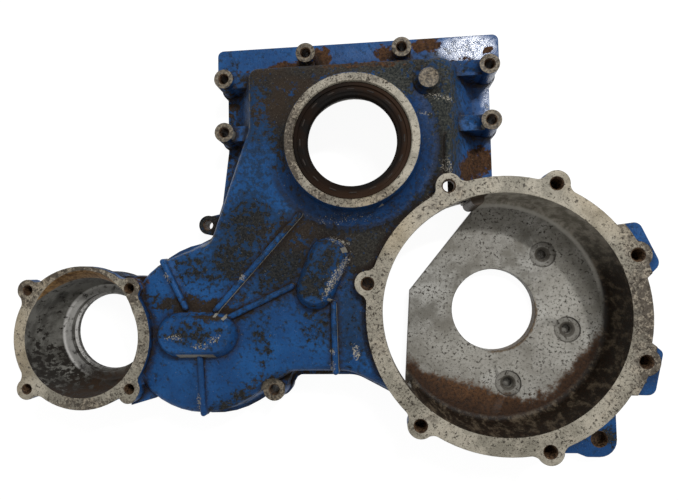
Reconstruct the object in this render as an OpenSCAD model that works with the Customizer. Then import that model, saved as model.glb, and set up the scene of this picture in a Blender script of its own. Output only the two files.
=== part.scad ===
// Timing cover of a diesel engine: one aluminium casting with a crankshaft oil seal pressed into its hub.
// Millimetres. Origin on the crankshaft axis at the gasket face, +Z out of the front, +Y towards the sump flange.

/* [Node] */
// Which piece to build

/* [Gasket flange] */
// Thickness of the gasket flange
flange_t = 12; // [9:1:15]
// Half width of the wide plate at the sump edge
plate_half = 140.5; // [136:0.5:150]
// Sump edge of the plate, above the crankshaft axis
plate_top = 113; // [107:1:120]
// Lower edge of the wide plate
plate_low = 82; // [70:1:88]
// Corner radius of the wide plate
plate_r = 6; // [2:1:10]
// Half width of the flange beside the dome
side_half = 130; // [127:1:134]
// How far the plate and the side bolts lie to the right of the crankshaft axis
plate_shift = 1.6; // [0:0.1:3]

/* [Dome] */
// Height of the front wall over the gasket face
dome_h = 52; // [48:1:55]
// Thickness of the cast wall
dome_wall = 7; // [5:0.5:8]
// Half width of the dome at its front edge
dome_half = 95; // [88:1:98]
// Half width of the dome where it meets the flange
dome_foot = 115; // [108:1:120]
// Sump-side edge of the dome at its front
dome_top = 77.5; // [75:0.5:82]
// Sump-side edge of the dome where it meets the flange
dome_top_foot = 86; // [83:1:92]
// Lower edge of the dome between lobe and chamber
dome_low = -205; // [-212:1:-198]
// Radius of the rounded front edge
dome_edge = 7; // [4:1:9]
// Height at which the left side bends out towards the lobe
bend_y = 21; // [10:1:32]

/* [Gear lobe] */
// Lobe centre, across
lobe_x = -144; // [-150:1:-138]
// Lobe centre, up and down
lobe_y = -168; // [-174:1:-162]
// Lobe radius at the front edge
lobe_r = 75; // [70:1:80]
// How much wider the lobe is at its foot
lobe_spread = 7; // [4:1:9]
// Rim of gasket flange around the lobe's foot
lobe_rim = 3; // [2:1:8]

/* [Seal hub] */
// Height of the hub's face
hub_h = 70; // [67:1:76]
// Outer diameter of the hub's face
hub_d = 120; // [116:1:126]
// Diameter of the hub where it runs into the front wall
hub_root = 152; // [142:1:154]
// Diameter of the hole behind the seal
hub_hole = 92; // [88:1:98]
// Seal seat diameter
seal_d = 105; // [104:1:110]
// Seal seat depth from the hub's face
seat_deep = 15; // [14.5:0.5:17]

/* [Gear chamber] */
// Chamber centre, across
ring_x = 128.5; // [125:0.5:132]
// Chamber centre, up and down
ring_y = -155; // [-159:1:-151]
// Chamber bore
ring_in = 210; // [204:1:216]
// Outside of the ring flange
ring_out = 241; // [236:1:244]
// How far the cast outside of the ring lies off the bore's centre
ring_off = 0.8; // [0:0.1:1.5]
// Machined face height of the ring flange and the tube
face_h = 60; // [57:1:64]
// Thickness of the ring flange
ring_t = 14; // [10:1:15]
// Outside diameter of the chamber wall
well_out = 227; // [224:1:231]
// Floor thickness
floor_t = 11; // [8:1:14]
// Fillet between floor and wall
floor_r = 6; // [3:1:9]
// Pilot hole in the floor
pilot_d = 78; // [70:1:86]
// Bolt circle of the ring flange
ring_pcd = 242; // [238:1:246]
// Bolt hole in the ring flange
ring_hole = 10; // [8:0.5:11]
// Radius of a ring flange lug
lug_r = 11.5; // [10:0.5:13]
// Radius of the hollow corner between a lug and its ring
lug_blend = 10; // [6:1:12]
// How far the bosses behind the ring lugs reach below the ring flange
lug_deep = 13; // [11:1:18]
// Depth of the blind hole in the lug that stands on the dome
lug_short = 11.5; // [9:0.5:12]
// Thickness of the ring flange around its one through hole
lug_thin = 6; // [5:0.5:10]
// Diameter of the relief behind that hole
lug_relief = 17; // [13:0.5:18]
// Height the painted outer lugs lie below the machined face
lug_drop = 1.5; // [0.5:0.5:3]
// Bolt circle radius in the floor
floor_bolt_r = 70.5; // [66:0.5:74]
// Bolt hole in the floor
floor_bolt_d = 9; // [7:0.5:11]
// Spot face around a floor bolt
floor_spot_d = 24; // [20:0.5:27]
// Floor left under a bolt hole
floor_rest = 2; // [1:0.5:4]
// Depth of the spot faces in the floor
floor_spot_deep = 1.5; // [0.5:0.5:3]

/* [Side tube] */
// Tube centre, across
tube_x = -256.5; // [-260:0.5:-253]
// Tube centre, up and down
tube_y = -172; // [-176:1:-168]
// Tube bore
tube_in = 111; // [106:1:115]
// Outside of the tube's front ring
tube_out = 133; // [128:1:138]
// Outside of the tube behind the ring
tube_body = 124; // [121:1:127]
// Thickness of the tube's front ring
tube_ring_t = 11; // [8:1:14]
// Opening at the back of the tube
tube_back = 77; // [72:1:79]
// Bore between the shoulder and the back opening
tube_mid_d = 82; // [80:1:86]
// Inner end of the cone that narrows the bore
tube_step = 96; // [92:1:100]
// Height over the gasket face where the cone starts
tube_step_h = 26; // [22:1:30]
// Height of the shoulder over the gasket face
tube_back_t = 12; // [9:1:14]
// Thickness of the lip around the back opening
tube_lip_t = 5; // [3:1:7]
// How far the cast mouth leans over the tube's upper edge
mouth_lean = 5.4; // [3:0.2:6]
// Radius of the cast mouth
mouth_r = 52; // [50:0.5:53]
// Slope of the cast mouth against the tube's axis
mouth_slope = 25; // [20:1:30]
// Direction in which the mouth leans
mouth_turn = -6; // [-20:1:30]
// Spacing of the tube's bolts across
tube_bolt_w = 100; // [96:1:104]
// Spacing of the tube's bolts up and down
tube_bolt_h = 92; // [88:1:96]
// Bolt hole in the tube's lugs
tube_hole = 8.5; // [7:0.5:10]
// Radius of a tube lug
tube_lug_r = 10; // [8:0.5:12]

/* [Bolt bosses] */
// Height of the boss faces over the gasket face
boss_h = 42; // [38:1:46]
// Boss diameter
boss_d = 18.5; // [17:0.5:22]
// Bolt hole through a boss
boss_hole = 9; // [8:0.5:11]
// How far the web behind a boss lies below the boss face
web_drop = 7; // [2:1:12]
// Half distance between the two sump-edge bosses
boss_in_x = 45.4; // [40:0.2:52]
// Height of the sump-edge bosses
boss_in_y = 93; // [92:1:97]
// Half distance between the side bosses
boss_out_x = 125.3; // [122:0.1:128]
// Height of the upper side bosses
boss_up_y = 72; // [66:1:74]
// Height of the lower side bosses
boss_low_y = 20; // [14:1:28]
// Foot boss beside the lobe, across
foot_x = -78.5; // [-82:0.5:-75]
// Foot boss beside the lobe, up and down
foot_y = -223.5; // [-226:0.5:-220]
// How much wider the foot boss is than the others
foot_wide = 2; // [0:0.5:4]

/* [Low ears] */
// Left ear hole, across
ear_x = -149; // [-152:1:-147]
// Left ear hole, up and down
ear_y = -66; // [-70:1:-62]
// Left ear radius
ear_r = 9.5; // [9:0.5:12]
// Left ear thickness
ear_t = 17; // [14:1:22]
// Rear ear hole, across
rear_x = 219.5; // [217:0.5:222]
// Rear ear hole, up and down
rear_y = -275; // [-278:0.5:-272]
// Rear ear hole diameter
rear_hole = 14; // [10:1:16]
// Rear ear thickness
rear_t = 14; // [12:1:20]
// Metal left under the rear ear's hole
rear_rest = 2.5; // [1:0.5:4]

/* [Ribs and pads] */
// Rib width at its foot
rib_w = 6.5; // [6:0.5:10]
// Rib height over the front wall
rib_h = 4.5; // [3:0.5:6]
// Pad height over the front wall
pad_h = 12; // [8:1:14]
// Length of the level pad at its top
pad_long = 66; // [60:1:72]
// Width of the level pad at its top
pad_wide = 31; // [28:1:36]
// Length of the slanting pad at its top
pad2_long = 57; // [50:1:64]
// Width of the slanting pad at its top
pad2_wide = 26; // [22:1:30]
// How far a pad spreads out at its foot
pad_spread = 6; // [3:1:8]
// Diameter of the round pad
spot_d = 19; // [16:1:22]
// Height of the round pad over the front wall
spot_h = 8; // [5:1:11]

/* [Crankshaft seal] */
// Shaft diameter at the seal lip
shaft_d = 80; // [79:0.5:82]
// Seal width
seal_w = 13; // [12:0.5:14]
// Wire diameter of the garter spring
spring_d = 2.4; // [2:0.1:2.6]

/* [Hidden] */
$fn = 64;
eps = 0.5;
arc_n = 6;
ring_c = [ring_x, ring_y];
tube_c = [tube_x, tube_y];
lobe_c = [lobe_x, lobe_y];
// Directions of the ring's bolts: one right through, five in deep bosses and one on the dome
through_angle = 111.5;
deep_angles = [67, 23.5, -20, -74, -128];
dome_angle = 166.5;
ring_angles = concat([through_angle], deep_angles, [dome_angle]);
floor_angles = [47.2, -16, -80.5];
// Cut edge of the chamber floor, from its upper end to its lower end
cut_a = [116.5, -54];
cut_b = [49.8, -135];
cut_c = [43.4, -224];
tube_mid = [tube_x - 2.9, tube_y - 1];
ring_cast = ring_c + [ring_off, -ring_off];
// Narrow part of the gasket flange above the left ear
waist = [-135.5, -45];
seal_front = hub_h - (seat_deep - seal_w);
seal_back = seal_front - seal_w;
front_in = dome_h - dome_wall;
lug_z = face_h - ring_t;
// Point that every part of the dome outline can be seen from
loft_mid = [-40, -110];

// Outline helpers: an outline is a clockwise list of corners, each [x, y, corner radius]
function xy(p) = [p[0], p[1]];
function unit(v) = v / norm(v);
function left_of(v) = [-v[1], v[0]];
function turn(u, v) = u[0] * v[1] - u[1] * v[0];
function prev(p, i) = p[(i + len(p) - 1) % len(p)];
function next(p, i) = p[(i + 1) % len(p)];
function mix(p, q, t) = [for (i = [0 : len(p) - 1]) p[i] * (1 - t) + q[i] * t];

// Outline moved outwards by d, with its corner radii following
function grow(p, d) = [
    for (i = [0 : len(p) - 1])
        let (
            u = unit(xy(p[i]) - xy(prev(p, i))),
            v = unit(xy(next(p, i)) - xy(p[i])),
            m = left_of(u),
            n = left_of(v),
            q = xy(p[i]) + d * (m + n) / (1 + m * n),
            r = turn(u, v) < 0 ? p[i][2] + d : p[i][2] - d
        )
        [q[0], q[1], max(r, 1)]
];

// Points around one rounded corner
function bend(a, b, c, r) =
    let (
        u = unit(a - b),
        v = unit(c - b),
        half = acos(u * v) / 2,
        mid = b + unit(u + v) * r / sin(half),
        s = b + u * r / tan(half) - mid,
        way = turn(-u, v) < 0 ? -1 : 1,
        a0 = atan2(s[1], s[0]),
        sweep = way * (180 - 2 * half)
    )
    [for (k = [0 : arc_n]) mid + r * [cos(a0 + sweep * k / arc_n), sin(a0 + sweep * k / arc_n)]];

// Outline with every corner rounded
function rounded(p) = [
    for (i = [0 : len(p) - 1])
        each bend(xy(prev(p, i)), xy(p[i]), xy(next(p, i)), p[i][2])
];

// Corners that carry the lobe's arc, clockwise from the tangent at one outline corner to that at another
function lobe_corners(r, from, to) =
    let (
        u = xy(from) - lobe_c,
        v = xy(to) - lobe_c,
        a0 = atan2(u[1], u[0]) - acos(r / norm(u)),
        a1 = atan2(v[1], v[0]) + acos(r / norm(v)) - 360,
        s = (a0 - a1) / 4
    )
    [
        for (k = [0 : 3])
            let (a = a0 - s * (k + 0.5))
            [lobe_x + r / cos(s / 2) * cos(a), lobe_y + r / cos(s / 2) * sin(a), 0.999 * r]
    ];

// Outline with the lobe between its foot corner and its neck corner
function case_line(r, right, foot, neck, left) = concat(right, [foot], lobe_corners(r, foot, neck), [neck], left);

// Dome outline at the front edge and at its foot, and the gasket flange around it
lobe_foot = lobe_r + lobe_spread;
lobe_edge = lobe_foot + lobe_rim;
dome_front = case_line(
    lobe_r,
    [
        [dome_half - 3.5, dome_top, 9],
        [dome_half - 3.5, -75, 5],
        [60, -150, 5],
        [62, dome_low - 35.5, 5],
        [-6, dome_low, 40]
    ],
    [-61, dome_low, 12],
    [lobe_x + 8.3, lobe_y + lobe_r + 7.2, 12],
    [[-dome_half - 2.5, bend_y, 30], [-dome_half - 2.5, dome_top, 9]]
);
dome_base = case_line(
    lobe_foot,
    [
        [dome_foot, dome_top_foot, 15],
        [dome_foot, -75, 5],
        [64, -150, 5],
        [66, dome_low - 43, 5],
        [-4, dome_low - 7, 33]
    ],
    [-59, dome_low - 7, 6],
    [lobe_x - 3, lobe_y + lobe_foot + 7, 6],
    [[-dome_foot - 1, bend_y - 7, 40], [-dome_foot - 1, dome_top_foot, 15]]
);
flange_line = case_line(
    lobe_edge,
    [
        [plate_shift + side_half, 100, 3],
        [plate_shift + side_half, -70, 3],
        [66, -150, 3],
        [68, dome_low - 48, 3],
        [-3, dome_low - 10.5, 30]
    ],
    [-58, dome_low - 10.5, 6],
    [lobe_x + 3, lobe_y + lobe_edge + 1.5, 8],
    [
        [waist[0], waist[1], 12],
        [plate_shift - side_half, bend_y - 13, 30],
        [plate_shift - side_half, 100, 3]
    ]
);
plate_line = [
    [plate_shift + plate_half, plate_top, plate_r],
    [plate_shift + plate_half, plate_low, 4],
    [plate_shift - plate_half, plate_low, 4],
    [plate_shift - plate_half, plate_top, plate_r]
];

// Solid between outlines of equal length, each at its own height, closed around a point inside them all
module loft(outlines, heights) {
    rings = [for (o = outlines) rounded(o)];
    n = len(rings[0]);
    m = len(rings);
    body = [for (j = [0 : m - 1]) each [for (p = rings[j]) [p[0], p[1], heights[j]]]];
    ends = [[loft_mid[0], loft_mid[1], heights[0]], [loft_mid[0], loft_mid[1], heights[m - 1]]];
    sides = [
        for (j = [0 : m - 2])
            each [for (i = [0 : n - 1]) each [
                [j * n + i, j * n + (i + 1) % n, (j + 1) * n + (i + 1) % n],
                [j * n + i, (j + 1) * n + (i + 1) % n, (j + 1) * n + i]
            ]]
    ];
    foot = [for (i = [0 : n - 1]) [m * n, (i + 1) % n, i]];
    top = [for (i = [0 : n - 1]) [m * n + 1, (m - 1) * n + i, (m - 1) * n + (i + 1) % n]];
    polyhedron(points = concat(body, ends), faces = concat(foot, sides, top), convexity = 10);
}

module at(p) {
    translate([p[0], p[1], 0]) children();
}

// Bar of one width from point a to point b
module strip(a, b, w) {
    d = b - a;
    at(a) rotate(atan2(d[1], d[0])) translate([0, -w / 2]) square([norm(d), w]);
}

// Gasket flange with its wide sump plate and the ears under the bosses
module flange_plate() {
    linear_extrude(flange_t) {
        polygon(rounded(flange_line));
        polygon(rounded(plate_line));
        for (s = [-1, 1], y = [boss_up_y, boss_low_y])
            translate([plate_shift + s * boss_out_x, y]) circle(d = boss_d + 3);
        translate([foot_x, foot_y]) circle(d = boss_d + foot_wide + 4);
        strip([foot_x, foot_y], [-66, -204], boss_d + foot_wide + 1);
    }
    linear_extrude(ear_t) {
        translate([ear_x, ear_y]) circle(r = ear_r);
        strip([ear_x, ear_y], [-128, -62], 1.7 * ear_r);
    }
}

// Outside of the domed gear case
module dome_skin() {
    e = dome_edge;
    loft(
        [
            dome_base,
            dome_base,
            mix(dome_base, dome_front, 0.16),
            mix(dome_base, dome_front, 0.3),
            mix(dome_base, dome_front, 0.95),
            dome_front,
            grow(dome_front, -0.25 * e),
            grow(dome_front, -0.6 * e),
            grow(dome_front, -e)
        ],
        [
            flange_t / 2,
            flange_t,
            flange_t + 2.5,
            flange_t + 7,
            dome_h - 1.2 * e,
            dome_h - 0.65 * e,
            dome_h - 0.28 * e,
            dome_h - 0.07 * e,
            dome_h
        ]
    );
}

// Hollow of the gear case, open at the back
module dome_hollow() {
    w = dome_wall;
    loft(
        [
            grow(dome_base, -w),
            grow(dome_base, -w),
            grow(dome_front, 0.5 - w),
            grow(dome_front, -1 - w),
            grow(dome_front, -5 - w)
        ],
        [-eps, flange_t, front_in - 6, front_in - 2, front_in]
    );
}

// Bolt bosses on the gasket flange, each with a web back to the dome
module bosses() {
    for (s = [-1, 1]) {
        boss_at([plate_shift + s * boss_in_x, boss_in_y], [plate_shift + s * boss_in_x, dome_top - 6], boss_d);
        for (y = [boss_up_y, boss_low_y])
            boss_at([plate_shift + s * boss_out_x, y], [s * (dome_half - 5), y], boss_d);
    }
    boss_at([foot_x, foot_y], [-68, -200], boss_d + foot_wide);
}

module boss_at(p, q, d) {
    at(p) cylinder(h = boss_h, d = d);
    linear_extrude(boss_h - web_drop) strip(p, q, d - 4);
}

// Web that joins the side tube to the lobe
module tube_web() {
    linear_extrude(face_h - 14)
        polygon([
            [tube_x + 30, tube_y + 57],
            [lobe_x - 54, lobe_y + 51.5],
            [lobe_x - 30, lobe_y],
            [lobe_x - 46, lobe_y - 62],
            [tube_x + 42, tube_y - 65]
        ]);
}

// Raised seal hub, turned about the crankshaft axis
module hub() {
    h = hub_h;
    r = hub_d / 2;
    rotate_extrude($fn = 128) polygon([
        [hub_hole / 2 - 3, front_in - 5],
        [r, front_in - 5],
        [r + 3, front_in + 2],
        [hub_root / 2, front_in + 3],
        [hub_root / 2, dome_h - 0.8],
        [hub_root / 2 - 4, dome_h + 0.5],
        [hub_root / 2 - 7.5, dome_h + 2.6],
        [r + 3.2, dome_h + 5.6],
        [r + 1.6, dome_h + 9.5],
        [r + 0.8, h - 1],
        [r, h],
        [hub_hole / 2 - 3, h]
    ]);
}

module lug_3() {
    polygon(rounded([
        [ring_x + 93, ring_y + 74, 2],
        [ring_x + 113.5, ring_y + 76.5, 7],
        [ring_x + 129.5, ring_y + 40, 8],
        [ring_x + 117, ring_y + 28, 2],
        [ring_x + 95, ring_y + 45, 2]
    ]));
}

module lug_4() {
    polygon(rounded([
        [ring_x + 112, ring_y - 20, 2],
        [ring_x + 128, ring_y - 33.5, 5],
        [ring_x + 119.5, ring_y - 69.3, 7],
        [ring_x + 92, ring_y - 69, 2],
        [ring_x + 95, ring_y - 40, 2]
    ]));
}

// Centre of the hollow corner between a ring of radius s about o and a lug of radius r about p
function blend_mid(o, s, p, r, side) =
    let (
        d = norm(p - o),
        a = s + lug_blend,
        b = r + lug_blend,
        open = acos((d * d + a * a - b * b) / (2 * d * a)),
        w = atan2(p[1] - o[1], p[0] - o[0]) + side * open
    )
    o + a * [cos(w), sin(w)];

// Metal in the two hollow corners beside a lug
module lug_corners(o, s, p, r) {
    for (side = [-1, 1]) {
        m = blend_mid(o, s, p, r, side);
        difference() {
            polygon([p, m, o + (s - 4) * unit(m - o)]);
            at(m) circle(r = lug_blend + 0.3);
        }
    }
}

function ring_bolt(a) = ring_c + ring_pcd / 2 * [cos(a), sin(a)];

// Ring flange around the chamber with its lugs
module ring_flange() {
    translate([0, 0, lug_z]) linear_extrude(ring_t) difference() {
        union() {
            at(ring_cast) circle(d = ring_out, $fn = 180);
            for (a = ring_angles) {
                at(ring_bolt(a)) circle(r = lug_r);
                lug_corners(ring_cast, ring_out / 2, ring_bolt(a), lug_r);
            }
            intersection() {
                outer_lugs();
                at(ring_c) circle(d = ring_out + 11, $fn = 180);
            }
        }
        at(ring_c) circle(d = ring_in, $fn = 180);
    }
    for (a = deep_angles)
        at(ring_bolt(a)) translate([0, 0, lug_z - lug_deep]) cylinder(h = lug_deep + 1, r = lug_r - 1.5);
    translate([0, 0, lug_z]) linear_extrude(ring_t - lug_drop) difference() {
        outer_lugs();
        at(ring_c) circle(d = ring_in + 6, $fn = 180);
    }
}

module outer_lugs() {
    lug_3();
    lug_4();
}

// Sector of the chamber that stays open towards the gear case
module open_sector() {
    polygon([
        [0, 0],
        300 * [cos(104), sin(104)],
        300 * [cos(162), sin(162)],
        300 * [cos(219.7), sin(219.7)]
    ]);
}

// Chamber wall and floor, with the fillet between them
module well() {
    at(ring_c) linear_extrude(face_h - 2) difference() {
        circle(d = well_out, $fn = 180);
        circle(d = ring_in, $fn = 180);
        open_sector();
    }
    linear_extrude(floor_t) intersection() {
        at(ring_c) circle(d = well_out, $fn = 180);
        polygon([cut_a + 50 * unit(cut_a - cut_b), [320, -13], [320, -330], [40, -330], cut_c, cut_b]);
    }
    r = ring_in / 2;
    at(ring_c) rotate(-140) rotate_extrude(angle = 237, $fn = 180) polygon(concat(
        [[r - floor_r - 1, floor_t - 1], [r + 1, floor_t - 1], [r + 1, floor_t + floor_r + 2]],
        [for (k = [1 : 5]) [
            r - floor_r + floor_r * cos(16 * k),
            floor_t + floor_r - floor_r * sin(16 * k)
        ]],
        [[r - floor_r - 1, floor_t - 0.2]]
    ));
}

// Post at the end of the chamber wall, beside the opening to the gear case
module wall_post() {
    a = 100;
    at(ring_c + (ring_in / 2 - 1.5) * [cos(a), sin(a)]) cylinder(h = lug_z + 3, r = 6, $fn = 40);
}

// Ear at the back of the chamber
module rear_ear() {
    linear_extrude(rear_t) difference() {
        polygon(rounded([
            [rear_x + 15.5, rear_y + 52, 2],
            [rear_x + 15.5, rear_y - 16.3, 16],
            [rear_x - 12, rear_y - 16.3, 8],
            [rear_x - 20, rear_y - 13, 6],
            [rear_x - 36, rear_y - 13.2, 5],
            [rear_x - 63, rear_y + 13, 2],
            [rear_x - 46, rear_y + 45, 2]
        ]));
        at(ring_c) circle(d = ring_in + 7, $fn = 180);
    }
}

// Side tube with its front ring and lugs
module tube() {
    at(tube_c) cylinder(h = face_h - 1, d = tube_body, $fn = 128);
    translate([0, 0, face_h - tube_ring_t]) linear_extrude(tube_ring_t) {
        at(tube_c) circle(d = tube_out, $fn = 128);
        tube_bolts() circle(r = tube_lug_r);
        for (s = [-1, 1], t = [-1, 1])
            lug_corners(tube_c, tube_out / 2, tube_mid + [s * tube_bolt_w / 2, t * tube_bolt_h / 2], tube_lug_r);
        translate(tube_mid + [tube_bolt_w / 2 - 1.5, -tube_bolt_h / 2 - 4.5]) circle(r = tube_lug_r - 1);
    }
    translate([0, 0, face_h - 26]) linear_extrude(26 - tube_ring_t + 1) tube_bolts() circle(r = tube_lug_r - 1.5);
}

module tube_bolts() {
    for (s = [-1, 1], t = [-1, 1])
        translate([tube_mid[0] + s * tube_bolt_w / 2, tube_mid[1] + t * tube_bolt_h / 2]) children();
}

// Rib with a rounded crest and rounded ends
module rib(a, b, w = rib_w) {
    d = b - a;
    h = dome_wall - 1 + rib_h;
    half = [[0, 0], [w / 2, 0], [w / 2 - 0.6, h - w / 4], [w / 2 - 1.3, h - w / 9], [w / 8, h], [0, h]];
    other = [for (i = [len(half) - 1 : -1 : 0]) [-half[i][0], half[i][1]]];
    translate([a[0], a[1], front_in + 1]) rotate(atan2(d[1], d[0])) {
        rotate([90, 0, 90]) linear_extrude(norm(d)) polygon(concat(half, other));
        rotate_extrude($fn = 32) polygon(half);
        translate([norm(d), 0, 0]) rotate_extrude($fn = 32) polygon(half);
    }
}

module ribs() {
    rib([-179.5, -103], [-158, -146]);
    rib([-50, -63], [-129, -148.5]);
    rib([-58, -128], [-116, -155]);
    rib([-144.8, -186], [-141.5, -242]);
    rib([-20.5, -144], [-19.5, -205]);
    rib([86, 4], [85, -29], 7);
}

// Obround pad with sloping sides
module pad(p, a, long, wide) {
    at(p) rotate(a) hull() {
        for (s = [-1, 1])
            translate([s * (long - wide) / 2, 0, front_in + 1]) {
                cylinder(h = pad_h + dome_wall - 3, r1 = wide / 2 + pad_spread + 2, r2 = wide / 2 + 1.2, $fn = 40);
                cylinder(h = pad_h + dome_wall - 1, r = wide / 2 - 1, $fn = 40);
            }
    }
}

module pads() {
    pad([lobe_x - 3, lobe_y - 3], 0, pad_long, pad_wide);
    pad([-30.5, -117], 67.8, pad2_long, pad2_wide);
    translate([69.5, 55.5, front_in + 1]) rotate_extrude($fn = 48) polygon([
        [0, 0],
        [spot_d / 2 + 4, 0],
        [spot_d / 2 + 4, dome_wall - 0.6],
        [spot_d / 2 + 1.5, dome_wall + 0.2],
        [spot_d / 2, dome_wall + 1.8],
        [spot_d / 2, dome_wall + spot_h - 1.6],
        [spot_d / 2 - 0.6, dome_wall + spot_h - 1],
        [0, dome_wall + spot_h - 1]
    ]);
}

// Bolt hole with a small countersink at its upper end
module hole(p, z0, z1, d, sink = 0.8) {
    at(p) translate([0, 0, z0]) cylinder(h = z1 - z0 + eps, d = d);
    at(p) translate([0, 0, z1 - sink]) cylinder(h = sink + eps, d1 = d, d2 = d + 2 * (sink + eps));
}

module holes() {
    for (s = [-1, 1]) {
        hole([plate_shift + s * boss_in_x, boss_in_y], -eps, boss_h, boss_hole);
        for (y = [boss_up_y, boss_low_y]) hole([plate_shift + s * boss_out_x, y], -eps, boss_h, boss_hole);
    }
    hole([foot_x, foot_y], -eps, boss_h, boss_hole);
    at([foot_x, foot_y]) translate([0, 0, boss_h]) cylinder(h = 20, d = boss_d + foot_wide + 4);
    hole([ear_x, ear_y], -eps, ear_t, boss_hole);
    hole([rear_x, rear_y], rear_rest, rear_t, rear_hole);
    hole(ring_bolt(through_angle), lug_z - 8, face_h, ring_hole, 1.2);
    at(ring_bolt(through_angle)) translate([0, 0, lug_z - 8])
        cylinder(h = ring_t + 8 - lug_thin, d = lug_relief);
    for (a = deep_angles) hole(ring_bolt(a), lug_z - lug_deep + 4, face_h, ring_hole, 1.2);
    hole(ring_bolt(dome_angle), face_h - lug_short, face_h, ring_hole, 1.2);
    for (a = floor_angles) {
        p = ring_c + floor_bolt_r * [cos(a), sin(a)];
        hole(p, floor_rest, floor_t - floor_spot_deep, floor_bolt_d, 1.6);
        at(p) translate([0, 0, floor_t - floor_spot_deep]) cylinder(h = 5, d = floor_spot_d);
    }
    tube_bolts() translate([0, 0, face_h - 22]) cylinder(h = 23, d = tube_hole);
    tube_bolts() translate([0, 0, face_h - 0.8]) cylinder(h = 1.3, d1 = tube_hole, d2 = tube_hole + 2.6);
    at(ring_c) translate([0, 0, -eps]) cylinder(h = floor_t + 2 * eps, d = pilot_d, $fn = 128);
    at(tube_c) translate([0, 0, -eps]) cylinder(h = face_h, d = tube_back, $fn = 128);
    at(tube_c) translate([0, 0, tube_lip_t]) cylinder(h = face_h, d = tube_mid_d, $fn = 128);
    at(tube_c) rotate_extrude($fn = 128) polygon([
        [0, tube_back_t],
        [tube_step / 2, tube_back_t],
        [tube_in / 2, tube_step_h],
        [tube_in / 2, face_h + 1],
        [0, face_h + 1]
    ]);
    at(tube_c) rotate(mouth_turn) translate([0, 0, face_h - mouth_lean / tan(mouth_slope)])
        rotate([-mouth_slope, 0, 0]) cylinder(h = 60, r = mouth_r, $fn = 128);
    translate([0, 0, front_in - 6]) cylinder(h = 40, d = hub_hole, $fn = 128);
    translate([0, 0, hub_h - seat_deep]) cylinder(h = 40, d = seal_d, $fn = 128);
    translate([0, 0, hub_h - 0.8]) cylinder(h = 1.3, d1 = seal_d, d2 = seal_d + 2.6, $fn = 128);
}

module cover_casting() {
    color([0.13, 0.32, 0.62]) difference() {
        union() {
            difference() {
                union() {
                    flange_plate();
                    dome_skin();
                    tube_web();
                    bosses();
                }
                dome_hollow();
                at(ring_c) translate([0, 0, floor_t]) cylinder(h = face_h, d = ring_in, $fn = 180);
                translate([0, 0, -eps]) linear_extrude(floor_t + 1)
                    polygon([cut_a, cut_b, cut_c, [30, -215], [10, -150], [60, -60], [98, -48]]);
            }
            hub();
            ring_flange();
            well();
            wall_post();
            rear_ear();
            tube();
            ribs();
            pads();
        }
        holes();
    }
}

// Cross-section of the seal: covered outer case, dust lip and sealing lip
module crank_seal() {
    b = seal_back;
    r = shaft_d / 2;
    c = seal_d / 2;
    color([0.09, 0.07, 0.06]) rotate_extrude($fn = 128) difference() {
        polygon([
            [c - 2.5, b],
            [c - 0.8, b],
            [c, b + 1.5],
            [c, b + seal_w - 0.8],
            [c - 0.8, b + seal_w],
            [c - 3.4, b + seal_w],
            [c - 4, b + seal_w - 1.4],
            [r + 4.4, b + seal_w - 1.4],
            [r + 3.2, b + seal_w - 1.9],
            [r + 1.2, b + seal_w - 1.9],
            [r + 0.4, b + seal_w - 2.8],
            [r + 1.6, b + seal_w - 4.4],
            [r, b + 6.6],
            [r, b + 4.4],
            [r + 2.2, b + 0.8],
            [r + 4.4, b + 0.8],
            [r + 4.6, b + 6],
            [r + 5.5, b + seal_w - 4.4],
            [c - 2.5, b + seal_w - 4.4]
        ]);
        translate([r + 4.8, b + 3.2]) circle(d = spring_d, $fn = 32);
    }
}

// Garter spring in the groove of the sealing lip
module garter_spring() {
    color([0.55, 0.56, 0.57]) rotate_extrude($fn = 128)
        translate([shaft_d / 2 + 4.8, seal_back + 3.2]) circle(d = spring_d, $fn = 32);
}

cover_casting();
crank_seal();
garter_spring();
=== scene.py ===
import bpy
import bmesh
import math
from mathutils import Matrix, Vector
from mathutils.bvhtree import BVHTree


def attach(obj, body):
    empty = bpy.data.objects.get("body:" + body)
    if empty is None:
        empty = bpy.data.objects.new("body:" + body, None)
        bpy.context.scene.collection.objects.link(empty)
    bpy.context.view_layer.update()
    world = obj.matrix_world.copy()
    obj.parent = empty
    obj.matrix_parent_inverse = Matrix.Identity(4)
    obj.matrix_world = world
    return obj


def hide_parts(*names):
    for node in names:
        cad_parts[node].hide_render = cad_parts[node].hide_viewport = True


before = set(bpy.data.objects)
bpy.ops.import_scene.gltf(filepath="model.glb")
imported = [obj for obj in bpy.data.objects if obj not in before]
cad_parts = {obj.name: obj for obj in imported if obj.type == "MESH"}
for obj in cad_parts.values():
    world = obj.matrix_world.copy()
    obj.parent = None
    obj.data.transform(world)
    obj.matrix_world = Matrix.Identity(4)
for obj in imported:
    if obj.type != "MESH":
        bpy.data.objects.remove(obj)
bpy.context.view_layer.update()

# Studio: the cover lies on its gasket face on a pale floor and is seen from half a metre above.
# A soft lamp stands at the upper right, a small one beside it gives the paint its shine, and an
# even sky fills the shadows.
scene = bpy.context.scene
camera = bpy.data.objects.new("camera", bpy.data.cameras.new("camera"))
scene.collection.objects.link(camera)
camera.data.sensor_width = 36.0
camera.data.lens = 26.55
plumb = Vector((0.094, 0.044, 1.0)).normalized()
roll = math.radians(1.2)
level = Vector((math.cos(roll), -math.sin(roll), 0.0))
across = (level - level.dot(plumb) * plumb).normalized()
down = (-plumb).cross(across)
axes = Matrix((across, down, -plumb))
turned = Matrix((axes.col[0], -axes.col[1], -axes.col[2])).transposed().to_4x4()
stand = Vector((0.02738, -0.1168, 0.503))
camera.matrix_world = Matrix.Translation(stand) @ turned
camera.data.clip_start = 0.01
scene.camera = camera
scene.view_settings.view_transform = "Standard"

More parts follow.
